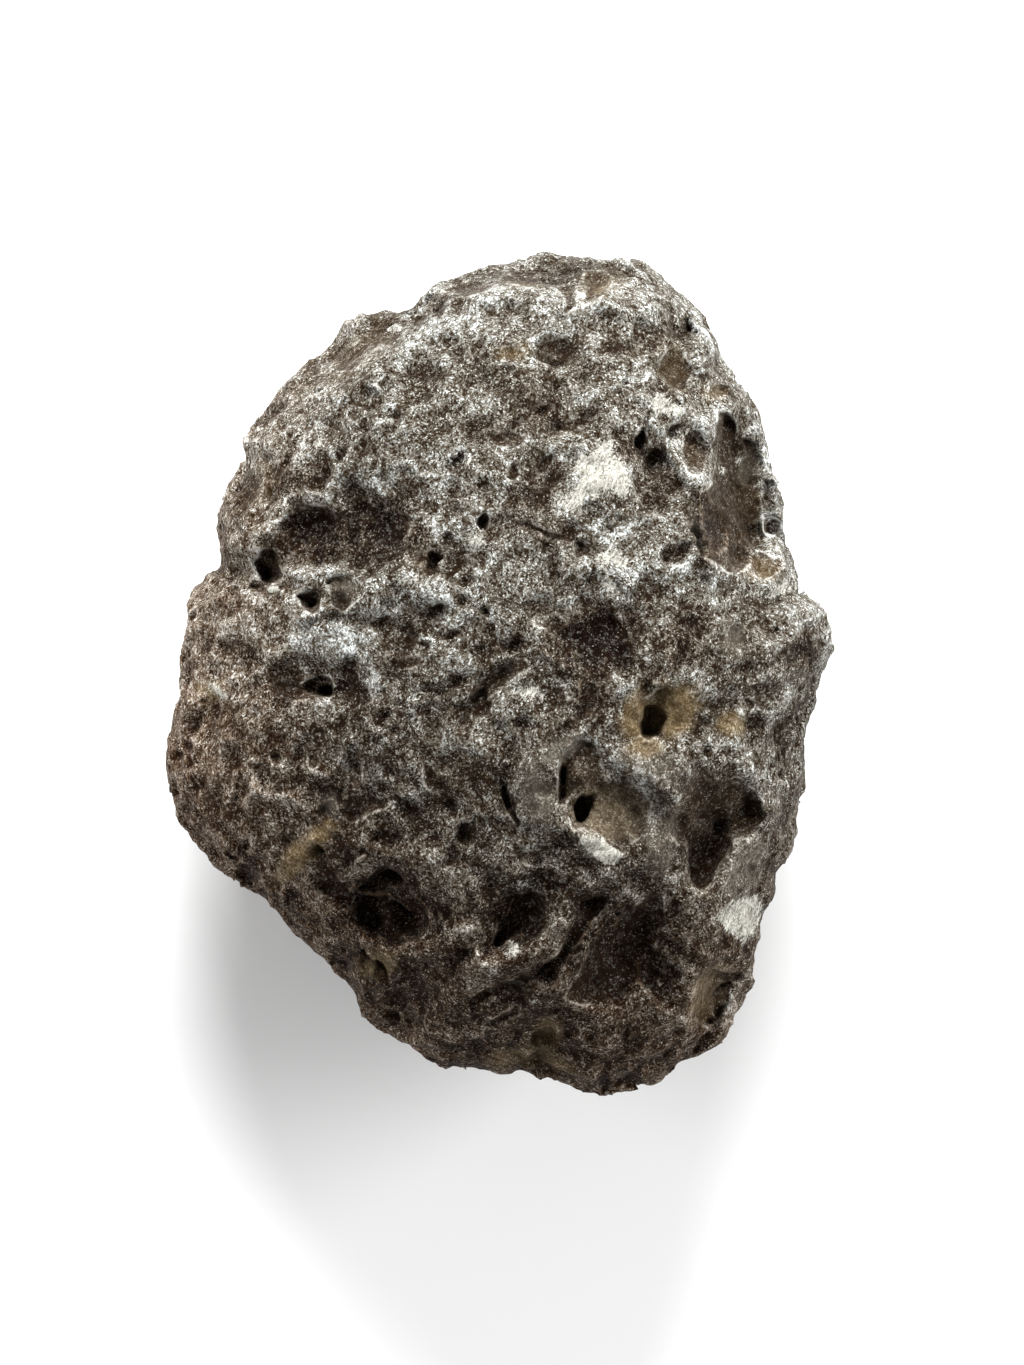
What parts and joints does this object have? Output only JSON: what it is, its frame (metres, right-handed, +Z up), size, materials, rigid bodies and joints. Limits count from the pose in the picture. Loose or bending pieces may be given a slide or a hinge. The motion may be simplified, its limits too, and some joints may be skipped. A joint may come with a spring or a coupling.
{
  "type": "tektite",
  "caption": "Dark frosted pebble of natural glass, pitted, grooved and hollowed all over, that lies on its broad worn underside.",
  "frame": {"origin": "middle of the stone's footprint box, on the surface it rests on", "axes": "+Z up through the domed, pitted face; +Y along the stone's long way, towards its shelved top end; +X to the right seen from above"},
  "size_m": [0.0426, 0.0536, 0.0303],
  "materials": {
    "frosted_glass": "frosted, with smoother floors in its hollows"
  },
  "bodies": {
    "root": {"tektite": "frosted_glass"}
  },
  "joints": []
}
